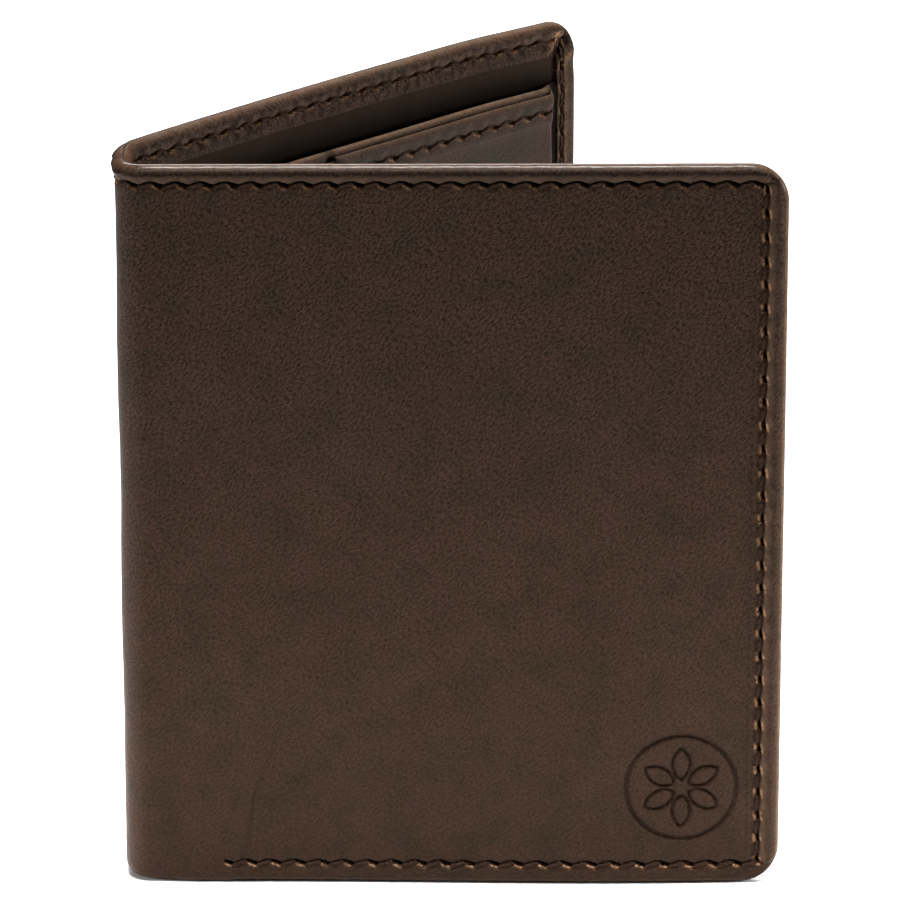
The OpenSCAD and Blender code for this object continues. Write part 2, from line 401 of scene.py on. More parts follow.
def outer_details(s, z, edge, depth, shade, front):
    """Adds slight waves and a painted shade strip below the top roll to an outer face; on the front
    also a scored line of painted shade alone, and creases and an emblem pressed in with painted
    shade in them.
    """
    distance = border_distance(edge, z)
    # Painted shade: a dark strip just below the top roll
    shade = np.maximum(shade, 0.7 * bell(HEIGHT - z, 0.95, 0.36))
    waves = 0.045 * ripple(s, z, 26, 3) + 0.012 * ripple(s, z, 5.5, 4)
    depth = depth + smooth(distance, 1.0, 6.0) * waves
    if not front:
        return depth, shade
    # The scored line is painted shade only: a dark line with no groove in the depth
    scored = bell(edge - STITCH_INSET, 1.7, 0.14) * smooth(distance, 3.0, 4.5)
    folded = crease_depth(s, z)
    mark = emblem_mask(edge, z)
    # Painted shade in the scored line, the creases and the emblem's pressed lines, most on the
    # emblem's sloping sides
    for dark in (0.3 * scored, 1.6 * folded, 0.15 * mark + 1.6 * mark * (1 - mark)):
        shade = np.maximum(shade, dark)
    return depth + folded + 0.42 * mark, shade


def inner_details(s, z, edge, depth, wear_and_sheen, shade, raw, rolled):
    """Adds the crinkled top hem, darkened in mottled patches, its corner's pleats with painted
    shade in their folds, a dent with painted shade beside the side hem, painted shade below the top
    hem, and the frayed hem edge to an inner face.
    """
    distance = border_distance(edge, z)
    near_spine = 0.4 + 0.6 * smooth(edge, HALF_W - 40, HALF_W)
    hem = smooth(z, HEIGHT - TOP_HEM_W - 0.5, HEIGHT - TOP_HEM_W + 1.5) * smooth(distance, 0.3, 1.5)
    depth = depth + 0.08 * hem * near_spine * ripple(s, 0.45 * z, 2.4, 9)
    # The top hem is darkened in mottled patches
    shade = np.maximum(shade, hem * np.clip(0.2 + 0.35 * ripple(s, z, 1.9, 11), 0, 0.6))
    beside, below = (np.clip(1.6 * CORNER_R - d, 0, None) for d in (edge, HEIGHT - z))
    reach = smooth(np.minimum(beside, below) / CORNER_R, 0.05, 0.9)
    pleats = np.cos(10 * np.arctan2(beside, below + 1e-6) + 0.8)
    depth = depth + 0.42 * reach * pleats * (1 - rolled)
    # Painted shade in the pleats' folds
    shade = np.maximum(shade, reach * smooth(-pleats, 0.0, 0.9) * smooth(distance, 0.9, 1.6))
    # A dent with painted shade in it beside the side hem's edge
    nook = bell(edge - EDGE_HEM_W, 0.75, 0.55) * smooth(z, 80, 90) * (1 - smooth(z, 96.5, 98.5))
    depth = depth - 0.35 * nook
    shade = np.maximum(shade, nook)
    depth = depth + smooth(distance, 1.0, 6.0) * 0.04 * ripple(s, z, 7, 8)
    below_hem = HEIGHT - z - TOP_HEM_W
    covered = edge > EDGE_HEM_W
    # Painted shade just below the top hem, above the inner panel's top
    under = smooth(below_hem, -0.05, 0.10) * smooth(z, PANEL_TOP - 6, PANEL_TOP) * covered
    shade = np.maximum(shade, under)
    hem_edge = bell(below_hem, -0.35, 0.22) * covered
    fray = reach ** 3 * smooth(pleats, 0.4, 0.9) * smooth(distance, 1.0, 1.6)
    return depth, np.maximum(wear_and_sheen, 0.3 * hem_edge), shade, np.maximum(raw, fray)


def cover_point(s, z, edge, inner, front):
    """Depth v of the cover's outer or inner face, with its wear, shade and raw masks."""
    rolled = np.clip(1 - border_distance(edge, z) / ROLL, 0, 1)
    fall = 1 - np.sqrt(np.clip(1 - rolled * rolled, 0, 1))
    thick = hem_thickness(s, z, edge)
    dent, lift, shade, raw, sheen_band = row_marks(s, z, edge)
    unbent = 1 - 0.65 * smooth(edge, HALF_W - 5, HALF_W - 1)
    # Scuffed rolled edges, joined by the painted sheen strips beside the top and side rows
    wear_and_sheen = np.maximum(smooth(rolled, 0.25, 0.85) * unbent, sheen_band)
    upright = smooth(height_in(z) - edge, -1.0, 1.0)
    rim = smooth(rolled, 0.55, 0.75) * (1 - 0.6 * smooth(rolled, 0.85, 1.0))
    rim = rim * (0.04 + 0.12 * upright)
    # Painted shadow: a dark line along the underside of the rolled edge at the foot
    under = 0.8 * smooth(rolled, 0.5, 0.9) * (z < 1.5) * smooth(edge - z, -1.0, 1.0)
    shade = np.maximum(shade, under)
    tuck = thick / 2 * np.clip(1 - z / SPINE_FOOT_R, 0, 1) ** 2
    tuck = tuck * smooth(edge, HALF_W - 9, HALF_W - 1)
    if inner:
        level = thick - np.maximum(thick / 2 * fall - tuck, 0)
        depth = level - 0.8 * dent + 0.6 * lift * (1 - fall)
        raw = np.maximum(0.55 * raw, rim)
        return inner_details(s, z, edge, depth, wear_and_sheen, shade, raw, rolled)
    depth = thick / 2 * fall + tuck + dent - lift * (1 - fall)
    depth, shade = outer_details(s, z, edge, depth, shade, front)
    return depth, wear_and_sheen, shade, np.maximum(raw, rim)


# ---- meshes

# Where faces are sampled: over the rolled rim, across a row of stitches and at a hem's edge
ROLL_LINES = [ROLL * (1 - math.cos(k * math.pi / 12)) for k in range(7)]
SEAM_STEPS = (
    -1.45, -1.15, -0.90, -0.68, -0.50, -0.38, -0.27, -0.17, -0.07, 0.03,
    0.14, 0.27, 0.42, 0.62, 0.90, 1.25, 1.55, 1.70, 1.85,
)
HEM_STEPS = (-0.12, 0, 0.12)
HEM_LINES = [EDGE_HEM_W + step for step in HEM_STEPS]


def near_lines(inset, flip=1):
    """Sampling distances from a border: over the roll, a row of stitches and a hem's edge."""
    return ROLL_LINES + [inset + flip * d for d in SEAM_STEPS] + HEM_LINES


FARTHEST = FOOT_INSET + SEAM_STEPS[-1] + 0.3  # beyond every row, where the even cells start
CELL = PITCH / 5
PANEL_REACH = HALF_W - PANEL_START  # from the free edge to the inner panel's near edge


def tidy_lines(values):
    """Sorted sampling lines without near repeats."""
    values = np.array(sorted(values))
    return values[np.concatenate([[True], np.diff(values) > 0.02])]


def length_lines(front):
    """Values of s for one half."""
    run = mirror(SEAM, front)
    steps = np.arange(0, run - FARTHEST, CELL)
    marks = [PANEL_REACH + step for step in HEM_STEPS]
    edge = tidy_lines(near_lines(STITCH_INSET) + list(run - steps) + marks)
    return mirror(edge, front)


def height_lines():
    """Values of z for the cover."""
    steps = np.arange(0, HEIGHT / 2 - FARTHEST, CELL)
    middle = list(HEIGHT / 2 - steps) + list(HEIGHT / 2 + steps)
    marks = [z + step for z in (TOP_HEM_W, HEIGHT - TOP_HEM_W) for step in HEM_STEPS]
    top = [HEIGHT - n for n in near_lines(TOP_INSET)]
    return tidy_lines(near_lines(FOOT_INSET, -1) + middle + marks + top)


def grid_faces(index):
    """Quads over a grid of vertex numbers, index[row, column]."""
    corners = (index[:-1, :-1], index[1:, :-1], index[1:, 1:], index[:-1, 1:])
    return np.stack(corners, axis=-1).reshape(-1, 4)


UV_UNIT = 100  # millimetres of leather or cloth to one unit of its flat map


def make_mesh(name, points, faces, uv=None, masks=None):
    """A smooth-shaded mesh object from arrays. masks are named values, one a point."""
    mesh = bpy.data.meshes.new(name)
    mesh.from_pydata(points.tolist(), [], [tuple(f) for f in faces])
    mesh.polygons.foreach_set("use_smooth", np.ones(len(mesh.polygons), bool))
    if uv is not None:
        layer = mesh.uv_layers.new(name="flat")
        corner = np.zeros(len(mesh.loops), np.int32)
        mesh.loops.foreach_get("vertex_index", corner)
        layer.data.foreach_set("uv", uv[corner].astype(np.float32).ravel())
    for key, values in (masks or {}).items():
        attribute = mesh.attributes.new(key, "FLOAT", "POINT")
        attribute.data.foreach_set("value", values.astype(np.float32))
    mesh.validate()
    obj = bpy.data.objects.new(name, mesh)
    bpy.context.scene.collection.objects.link(obj)
    return obj


def fix_normals(obj):
    """Turns the faces of a closed mesh outwards."""
    work = bmesh.new()
    work.from_mesh(obj.data)
    bmesh.ops.recalc_face_normals(work, faces=work.faces)
    work.to_mesh(obj.data)
    work.free()
    return obj


def refine(flat, faces, front):
    """Cuts cells into thirds along the stitch rows, and all ways under the front's fine marks."""
    mesh = bpy.data.meshes.new("plan")
    mesh.from_pydata(flat.tolist(), [], faces)
    work = bmesh.new()
    work.from_mesh(mesh)
    work.edges.ensure_lookup_table()
    ends = np.zeros(2 * len(mesh.edges), np.int32)
    mesh.edges.foreach_get("vertices", ends)
    a, b = flat[ends[::2]], flat[ends[1::2]]
    middle = (a + b) / 2
    edge = mirror(middle[:, 0], front)
    z = middle[:, 2]
    outside = (a[:, 1] + b[:, 1]) < 0.5
    along_z = np.abs(a[:, 2] - b[:, 2]) > 1e-6
    along_s = np.abs(a[:, 0] - b[:, 0]) > 1e-6
    near, far = TOP_INSET + SEAM_STEPS[0] - 0.05, FARTHEST - 0.8
    high = HEIGHT - z
    top_row = (high > near) & (high < far)
    foot_row = (z > near) & (z < far) & outside & (edge < PANEL_REACH)
    rows = along_s & (top_row | foot_row)
    sides = along_z & (edge > near) & (edge < far)
    chosen = rows | sides
    if front:
        reach = EMBLEM_R + 0.8
        mark = (np.abs(edge - EMBLEM_INSET) < reach) & (np.abs(z - EMBLEM_Z) < reach)
        creased = (edge > FRONT_LEN - 19) & (edge < FRONT_LEN - 1) & (z < 26)
        chosen |= outside & (mark | creased)
    edges = [work.edges[k] for k in np.flatnonzero(chosen)]
    bmesh.ops.subdivide_edges(work, edges=edges, cuts=2, use_grid_fill=True)
    work.verts.index_update()
    flat = np.array([v.co for v in work.verts])
    faces = [[v.index for v in f.verts] for f in work.faces]
    work.free()
    bpy.data.meshes.remove(mesh)
    return flat, faces


def two_faces(rows, columns):
    """Vertex numbers, [row, column], of two faces over one grid."""
    first = np.arange(rows * columns).reshape(rows, columns)
    return first, first + first.size


def used_points(corners, count):
    """The points that faces use, and the new number of each old point."""
    used = np.unique(corners)
    number = np.full(count, -1)
    number[used] = np.arange(len(used))
    return used, number


def flat_shell(front):
    """One half of the cover laid flat: points (s, 0 outside or 1 inside, z) and faces."""
    s_line = length_lines(front)
    z_line = height_lines()
    outer, inner = two_faces(len(s_line), len(z_line))
    for border in (np.s_[0, :], np.s_[:, 0], np.s_[:, -1]):
        inner[border] = outer[border]
    grid_s, grid_z = np.meshgrid(s_line, z_line, indexing="ij")
    end = np.stack([outer[-1, :-1], inner[-1, :-1], inner[-1, 1:], outer[-1, 1:]], axis=-1)
    faces = np.concatenate([grid_faces(outer), grid_faces(inner)[:, ::-1], end[1:-1]]).tolist()
    faces += [[int(end[0][k]) for k in (0, 2, 3)], [int(end[-1][k]) for k in (0, 1, 2)]]
    flat = np.stack([
        np.tile(grid_s.ravel(), 2),
        np.repeat([0.0, 1.0], outer.size),
        np.tile(grid_z.ravel(), 2),
    ], axis=-1)
    used, number = used_points(np.concatenate([np.array(f) for f in faces]), len(flat))
    return flat[used], [[int(number[i]) for i in f] for f in faces]


def cover_half(front):
    """The outer leather from one free edge to the middle of the spine, as one closed mesh."""
    flat, faces = refine(*flat_shell(front), front)
    s, side, z = flat[:, 0], flat[:, 1] > 0.5, flat[:, 2]
    edge = mirror(s, front)
    inside = cover_point(s, z, edge, True, front)
    outside = cover_point(s, z, edge, False, front)
    depth, wear_and_sheen, shade, raw = (np.where(side, a, b) for a, b in zip(inside, outside))
    new_edge, new_z = round_corner(edge, z)
    new_s = mirror(new_edge, front)
    uv = np.stack([new_s, new_z], axis=-1) / UV_UNIT + np.where(side, 2.3, 0.0)[:, None]
    gloss = (1.0 if front else 0.2) * smooth(1 - border_distance(edge, z) / ROLL, 0.1, 0.7)
    masks = {"wear_and_sheen": wear_and_sheen, "shade": shade, "raw": raw, "gloss": gloss}
    obj = make_mesh("leather_cover_" + SIDE[front], wrap(new_s, depth, new_z), faces, uv, masks)
    fix_normals(obj)
    obj.data.set_sharp_from_angle(angle=math.radians(60))
    return obj


# ---- flat pieces inside a half

def half_s(u, front):
    """s of a place u from the crease on one half."""
    return HALF_W - u if front else TOTAL - HALF_W + u


LAYERS = ("divider", "rear", "middle", "front")
LAYER_T = {"divider": 0.42, "rear": 0.30, "middle": 0.30, "front": 0.42}
FOLD_T = {"divider": 0.68, "rear": 0.08, "middle": 0.08, "front": 0.22}  # added by a turned edge
TOP_DROP = {"divider": 0, "rear": 1.5, "middle": 1.2, "front": 0.45}  # top below the divider's
FIRST_LAYER = {True: 1.50, False: 2.60}  # depth of the divider in the front (True) and the back
BULGE = {True: 0.4, False: 0.8}  # how far the layers stand inwards in their middle
EDGE_LAYER = 1.38  # depth of the divider under the hems
EDGE_STEP = 0.12  # depth between the layers under the hems
LAYER_GAP = 0.02
FOOT = 1.4  # foot of the layers
SLOT_END = 1.4  # end of a leather layer, from the free edge
CLOTH_END = 2.4  # end of a pocket cloth, from the free edge
CLOTH_T = 0.09
CLOTH_START = 0.8  # near edge of a pocket cloth, from its slot's
CLOTH_DROP = 1.5  # top of a pocket cloth, below its slot's
ROW_OFFSET = 1.0  # panel row's phase, from the uppermost slot's near edge
LINING_INSET = 3.6
LINING_DEPTH = 1.50
LINING_T = 0.14


def layer_depth(layer, u, z, front):
    """v of the side of a panel layer that faces the outer leather."""
    order = LAYERS.index(layer)
    at_edge = EDGE_LAYER + EDGE_STEP * order
    spread = smooth(HALF_W - u, 4.8, 8.5) * smooth(z, 2.5, 9.0)
    level = FIRST_LAYER[front] + sum(LAYER_T[n] + FOLD_T[n] + LAYER_GAP for n in LAYERS[:order])
    across = np.clip((u - PANEL_START) / (PANEL_REACH - 5), 0, 1)
    rise = np.sin(np.pi * across) ** 0.8 * smooth(z, 4, PANEL_TOP * 0.9)
    return at_edge + (level - at_edge) * spread + BULGE[front] * rise


def layer_fade(u, z):
    """How thick a panel layer is, as a part of its full thickness: it thins under the hems."""
    return 0.28 + 0.72 * smooth(HALF_W - u, 2.5, 8.0) * smooth(z, 2.5, 6.0)


def panel_phase(u):
    """Place along the row of stitches at the top of the inner panel."""
    return (u - SLOT_STARTS[2] - ROW_OFFSET) / PITCH - 0.5


def panel_u(phase):
    """Place u of a phase along that row."""
    return SLOT_STARTS[2] + ROW_OFFSET + (phase + 0.5) * PITCH


def panel_grid(start, end, top, fine):
    """Sampling lines of a panel piece, close together at its turned edges and its stitches."""
    roll = [0, 0.04, 0.14, 0.30, 0.5, 0.8, 1.2]
    seam_steps = (-0.85, -0.62, -0.45, -0.33, -0.23, -0.13, -0.03, 0.07, 0.18, 0.32, 0.5, 0.75, 1.1)
    seam = [PANEL_STITCH_DROP + step for step in seam_steps]
    fold = [PANEL_FOLD_W + step for step in (-0.25, -0.05, 0.15)]
    step = PITCH / 14 if fine else 1.2
    across = [start + n for n in roll] + list(np.arange(start + 1.5, end - 0.4, step))
    across += [start + NEAR_FOLD_W, start + 5.2, start + NEAR_FOLD_END, end - 0.2, end - 0.08, end]
    upright = [top - n for n in roll + seam + fold] + list(np.arange(FOOT + 0.5, top - 4.8, 1.5))
    return tidy_lines(across), tidy_lines(upright + [FOOT, FOOT + 0.1])


def sheet_mesh(name, u_line, z_line, place):
    """A closed thin mesh over a grid: place gives points, uv and masks of its two faces."""
    face, back = two_faces(len(u_line), len(z_line))
    for border in (np.s_[0, :], np.s_[-1, :], np.s_[:, 0], np.s_[:, -1]):
        back[border] = face[border]
    u, z = np.meshgrid(u_line, z_line, indexing="ij")
    points, uv, masks = place(u, z)
    faces = np.concatenate([grid_faces(face), grid_faces(back)[:, ::-1]])
    used, number = used_points(faces, 2 * face.size)
    masks = {key: value[used] for key, value in masks.items()}
    return fix_normals(make_mesh(name, points[used], number[faces].tolist(), uv[used], masks))


def wrap_sides(u, z, sides, front):
    """Points of a panel piece's faces, given the depth v of each."""
    edge, new_z = round_corner(HALF_W - u, z)
    s = half_s(HALF_W - edge, front)
    return np.concatenate([wrap(s, v, new_z).reshape(-1, 3) for v in sides])


def slot_piece(name, layer, front, start, top):
    """A leather panel sewn in at the side and the bottom, with its top and near edges turned."""
    end = HALF_W - SLOT_END
    u_line, z_line = panel_grid(start, end, top, True)

    def place(u, z):
        distance = np.minimum(np.minimum(u - start, end - u), np.minimum(top - z, z - FOOT))
        rolled = np.clip(1 - distance / 0.5, 0, 1)
        fall = 1 - np.sqrt(np.clip(1 - rolled * rolled, 0, 1))
        top_fold = smooth(z, top - PANEL_FOLD_W - 0.2, top - PANEL_FOLD_W + 0.1)
        near_fold = 1 - smooth(u, start + NEAR_FOLD_W, start + NEAR_FOLD_END)
        folded = np.maximum(top_fold, near_fold)
        thick = (LAYER_T[layer] + FOLD_T[layer] * folded) * layer_fade(u, z)
        along, across = panel_phase(u), top - z - PANEL_STITCH_DROP
        weight = smooth(u, start + 0.6, start + 1.0) * smooth(end - u, 4.2, 5.0)
        dent = stitch_dent(along, across) * weight * 0.8
        puff = seam_puff(along, across) * weight * 0.7
        wrinkle = 0.04 * ripple(u, z, 9, 21) * smooth(distance, 1, 5)
        base = layer_depth(layer, u, z, front)
        toward = base + thick * fall / 2
        away = base + thick * (1 - fall / 2) - dent + puff * (1 - fall) + wrinkle
        points = wrap_sides(u, z, (away, toward), front)
        shifted = u + 31 * LAYERS.index(layer)
        uv = np.tile(np.stack([shifted, z], axis=-1).reshape(-1, 2), (2, 1)) / UV_UNIT
        raw = 0.6 * raw_fibres(along, across) * weight
        # Painted shade: darker towards the hem's edge and towards the edge of the next slot over
        # this layer; the shade mask also holds painted shade in the stitch dents
        groove = 1 - smooth(HALF_W - u, EDGE_HEM_W + 1.0, EDGE_HEM_W + 2.2)
        for following in SLOT_STARTS:
            if following > start:
                beside = smooth(u, following - 1.1, following - 0.1) * (u < following + 1)
                groove = np.maximum(groove, 0.7 * beside)
        wear_and_sheen = (0.75 if layer == "divider" else 0.35) * smooth(rolled, 0.1, 0.9)
        masks = {
            "wear_and_sheen": np.tile(wear_and_sheen.ravel(), 2),
            "shade": np.tile(np.maximum(np.clip(dent / 0.5, 0, 1), groove).ravel(), 2),
            "raw": np.concatenate([raw.ravel(), np.zeros(raw.size)]),
        }
        return points, uv, masks

    return sheet_mesh(name, u_line, z_line, place)


def pocket_piece(name, layer, front, start, top):
    """The thin cloth behind a card slot."""
    end = HALF_W - CLOTH_END
    u_line, z_line = panel_grid(start, end, top, False)

    def place(u, z):
        distance = np.minimum(np.minimum(u - start, end - u), np.minimum(top - z, z - FOOT))
        flat = smooth(distance, 0, 0.3)
        base = layer_depth(layer, u, z, front) - 0.06
        sides = (base - CLOTH_T * flat / 2, base + CLOTH_T * flat / 2)
        uv = np.tile(np.stack([u, z], axis=-1).reshape(-1, 2), (2, 1)) / UV_UNIT
        return wrap_sides(u, z, sides, front), uv, {}

    return sheet_mesh(name, u_line, z_line, place)


def lining_half(front):
    """The lining of one half, from near its free edge to the middle of the spine."""
    far = mirror(SEAM, front)
    rim = [LINING_INSET, 3.8]
    high_rim = [HEIGHT - 3.8, HEIGHT - LINING_INSET]
    edge_line = np.concatenate([rim, np.arange(4.6, far - 0.5, 0.9), [far]])
    z_line = np.concatenate([rim, np.arange(4.6, HEIGHT - 4.6, 1.1), high_rim])
    face, back = two_faces(len(edge_line), len(z_line))
    edge, z = np.meshgrid(edge_line, z_line, indexing="ij")
    s = mirror(edge, front)
    wave = 0.04 * ripple(s, z, 8, 31) + 0.02 * ripple(s, z, 3, 32)
    upper = LINING_DEPTH + wave
    depth = np.concatenate([upper.ravel(), (upper - LINING_T).ravel()])
    s2, z2 = np.tile(s.ravel(), 2), np.tile(z.ravel(), 2)
    rims = []
    borders = (
        (face[0], back[0]),
        (back[-1], face[-1]),
        (back[:, 0], face[:, 0]),
        (face[:, -1], back[:, -1]),
    )
    for a, b in borders:
        rims.append(np.stack([a[:-1], b[:-1], b[1:], a[1:]], axis=-1))
    faces = np.concatenate([grid_faces(face), grid_faces(back)[:, ::-1], *rims])
    uv = np.stack([s2, z2], axis=-1) / UV_UNIT
    # Painted shade: the lining darkens downwards from below the top hem
    masks = {"shade": smooth(HEIGHT - z2, TOP_HEM_W + 0.3, TOP_HEM_W + 4.5)}
    obj = make_mesh("lining_" + SIDE[front], wrap(s2, depth, z2), faces.tolist(), uv, masks)
    fix_normals(obj)
    obj.data.set_sharp_from_angle(angle=math.radians(50))
    return obj


# ---- thread

def twisted_stitches(name, centres):
    """Two-ply thread along each centreline. centres has shape (stitches, points, 3), in metres."""
    count, points, _ = centres.shape
    sides = 8
    aside = np.array([0.13, 0.29, 0.95])  # parallel to no stitch
    tangent = np.gradient(centres, axis=1)
    tangent /= np.linalg.norm(tangent, axis=2, keepdims=True)
    first = np.cross(tangent, aside)
    first /= np.linalg.norm(first, axis=2, keepdims=True)
    second = np.cross(tangent, first)
    turn = np.linspace(0, 2.2 * np.pi, points)[None, :, None]
    ring = (np.arange(sides) * 2 * np.pi / sides)[:, None]
    slim = (0.55 + 0.45 * np.sin(np.linspace(0.12, 0.88, points) * np.pi))[None, :, None, None]
    around = np.cos(ring) * first[:, :, None, :] + np.sin(ring) * second[:, :, None, :]
    verts, faces = [], []
    for ply in (0, np.pi):
        offset = (np.cos(turn + ply) * first + np.sin(turn + ply) * second) * PLY_R * 0.62 * MM
        line = (centres + offset)[:, :, None, :]
        index = len(verts) * count * points * sides + np.arange(count * points * sides)
        index = index.reshape(count, points, sides)
        verts.append((line + around * slim * PLY_R * MM).reshape(-1, 3))
        near, far = index[:, :-1], index[:, 1:]
        quads = np.stack([near, np.roll(near, -1, 2), np.roll(far, -1, 2), far], axis=-1)
        caps = index[:, 0].tolist() + index[:, -1][:, ::-1].tolist()
        faces += quads.reshape(-1, 4).tolist() + caps
    return fix_normals(make_mesh(name, np.concatenate(verts), faces))


def stitch_line(number, place):
    """Centreline of one stitch; place(phase, across, sink) gives its points."""
    tau = np.linspace(-STITCH_HALF, STITCH_HALF, 13)
    sink = 0.50 * smooth(np.abs(tau), STITCH_HALF - 0.14, STITCH_HALF)
    return place(number + tau, scallop(tau) + 0.40, sink)


def edge_stitches(front):
    """The rows through the outer leather of one half, seen on both its faces."""
    run = mirror(SEAM, front)

    def at(s, z, inner, sink):
        edge = mirror(s, front)
        thick = hem_thickness(s, z, edge)
        new_edge, new_z = round_corner(edge, z)
        depth = thick - 0.12 - sink if inner else 0.13 + sink
        return wrap(mirror(new_edge, front), depth, new_z)

    def top(phase, across, inner, sink):
        return at(SEAM - (phase + 0.5) * PITCH, HEIGHT - TOP_INSET - across, inner, sink)

    def bottom(phase, across, inner, sink):
        return at(SEAM - phase * PITCH, FOOT_INSET - across, inner, sink)

    def side(phase, across, inner, sink):
        edge = STITCH_INSET + across - straighten(phase)
        return at(mirror(edge, front), HEIGHT / 2 + phase * PITCH, inner, sink)

    reach = run - STITCH_INSET - ROW_MARGIN
    count = int(reach / PITCH + 0.5)
    foot_from = math.ceil((run - HALF_W + PANEL_START + ROW_MARGIN) / PITCH)
    foot = range(foot_from, int(reach / PITCH) + 1)
    half_rise = int((HEIGHT / 2 - STITCH_INSET - ROW_MARGIN) / PITCH)
    rows = {
        "top": (top, range(count) if front else range(-1, -1 - count, -1)),
        "bottom": (bottom, foot if front else [-n for n in foot]),
        "side": (side, range(-half_rise, half_rise + 1)),
    }
    made = {}
    for row, (place, numbers) in rows.items():
        lines = [
            stitch_line(n, lambda phase, across, sink: place(phase, across, inner, sink))
            for inner in (False, True) for n in numbers
        ]
        made[row] = twisted_stitches(f"{row}_stitches_{SIDE[front]}", np.array(lines))
    return made


def panel_stitches(front, tops):
    """The stitches along the top of the inner panel, laid on whichever piece is uppermost."""
    starts = [PANEL_START, *SLOT_STARTS]
    ends = [*SLOT_STARTS, HALF_W - EDGE_HEM_W]
    lines = []
    for layer, start, end in zip(LAYERS, starts, ends):

        def place(phase, across, sink):
            u, z = panel_u(phase), tops[layer] - PANEL_STITCH_DROP - across
            thick = (LAYER_T[layer] + FOLD_T[layer]) * layer_fade(u, z)
            return wrap(half_s(u, front), layer_depth(layer, u, z, front) + thick - 0.13 - sink, z)

        first = math.ceil(panel_phase(start + 2.2))
        last = math.floor(panel_phase(end - 1.4))
        lines += [stitch_line(n, place) for n in range(first, last + 1)]
    return twisted_stitches("panel_stitches_" + SIDE[front], np.array(lines))


# ---- materials

class Nodes:
    """Short calls for building one material's node tree."""

    def __init__(self, name):
        self.material = bpy.data.materials.new(name)
        self.material.use_nodes = True
        self.tree = self.material.node_tree
        self.shader = self.tree.nodes["Principled BSDF"]

    def add(self, kind, inputs=None, **settings):
        """A new node, with its inputs set or linked."""
        node = self.tree.nodes.new(kind)
        for key, value in settings.items():
            setattr(node, key, value)
        for key, value in (inputs or {}).items():
            self.put(node.inputs[key], value)
        return node

    def put(self, socket, value):
        """Sets a socket, or links another node's output to it."""
        if isinstance(value, bpy.types.NodeSocket):
            self.tree.links.new(value, socket)
        else:
            socket.default_value = value

    def surface(self, inputs):
        """Sets or links the shader's own inputs."""
        for key, value in inputs.items():
            self.put(self.shader.inputs[key], value)

    def finished(self, colour, rough, normal, specular):
        """The material, with its surface set."""
        values = {"Base Color": colour, "Roughness": rough, "Normal": normal}
        self.surface(values | {"Specular IOR Level": specular})
        return self.material

    def flat(self):
        """The place on the leather or cloth laid flat, in units of 100 mm."""
        return self.add("ShaderNodeUVMap", uv_map="flat").outputs["UV"]

    def mapped(self, where, key, value):
        """A place turned or stretched."""
        return self.add("ShaderNodeMapping", {"Vector": where, key: value}).outputs["Vector"]

    def noise(self, where, scale, detail=3.0, rough=0.55):
        values = {"Vector": where, "Scale": scale, "Detail": detail, "Roughness": rough}
        return self.add("ShaderNodeTexNoise", values).outputs["Fac"]

    def ramp(self, value, low, high, out_low=0.0, out_high=1.0):
        """A value stretched from low..high to out_low..out_high, and held there."""
        values = {"Value": value, "From Min": low, "From Max": high}
        values |= {"To Min": out_low, "To Max": out_high}
        return self.add("ShaderNodeMapRange", values).outputs["Result"]

    def math(self, operation, a, b):
        return self.add("ShaderNodeMath", {0: a, 1: b}, operation=operation).outputs[0]

    def times(self, a, b):
        return self.math("MULTIPLY", a, b)

    def mix(self, factor, a, b, kind="MIX"):
        values = {"Factor": factor, "A": a, "B": b}
        node = self.add("ShaderNodeMix", values, data_type="RGBA", blend_type=kind)
        return node.outputs["Result"]

    def mask(self, name):
        """One of the masks that the mesh carries."""
        return self.add("ShaderNodeAttribute", attribute_name=name).outputs["Fac"]

    def bump(self, height, strength, distance, normal=None):
        values = {"Height": height, "Strength": strength, "Distance": distance}
        if normal is not None:
            values["Normal"] = normal
        return self.add("ShaderNodeBump", values).outputs["Normal"]


TORN = (0.42, 0.23, 0.12, 1)


